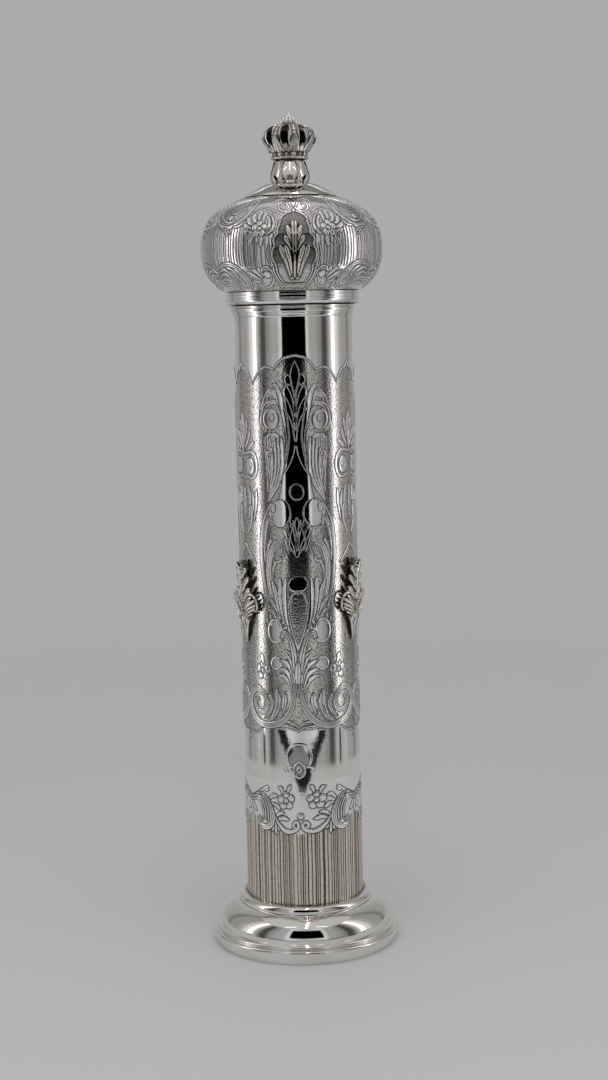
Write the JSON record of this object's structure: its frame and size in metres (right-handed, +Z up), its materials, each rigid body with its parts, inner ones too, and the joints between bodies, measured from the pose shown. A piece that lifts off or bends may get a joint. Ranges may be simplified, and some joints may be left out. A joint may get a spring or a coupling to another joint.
{
  "type": "megillah case",
  "caption": "Tall round silver case for a rolled scroll: moulded foot, chased hollow tube, lift-off bulb lid with saucer cap, bell neck and arched crown finial.",
  "frame": {"origin": "centre of the foot's underside, where the case stands", "axes": "+Z up along the case's axis; the front, with the crest, faces -Y; +X is to the right seen from the front"},
  "size_m": [0.0958, 0.0958, 0.422],
  "materials": {
    "silver_polished": "mirror-polished silver",
    "silver_chased": "chased silver, matted grounds and oxidised lines",
    "silver_cast": "cast silver, darkened in the hollows"
  },
  "bodies": {
    "root": {"foot": "silver_polished", "case_tube": "silver_chased", "mouth_ring": "silver_polished", "tube_crest": "silver_polished", "tube_leaf_1": "silver_cast", "tube_leaf_2": "silver_cast", "tube_leaf_3": "silver_cast", "lid_rim": "silver_polished", "lid_dome": "silver_chased", "lid_leaf_1": "silver_cast", "lid_leaf_2": "silver_cast", "lid_leaf_3": "silver_cast", "lid_cap": "silver_polished", "finial_neck": "silver_polished", "neck_calyx": "silver_cast", "crown": "silver_cast"}
  },
  "joints": []
}
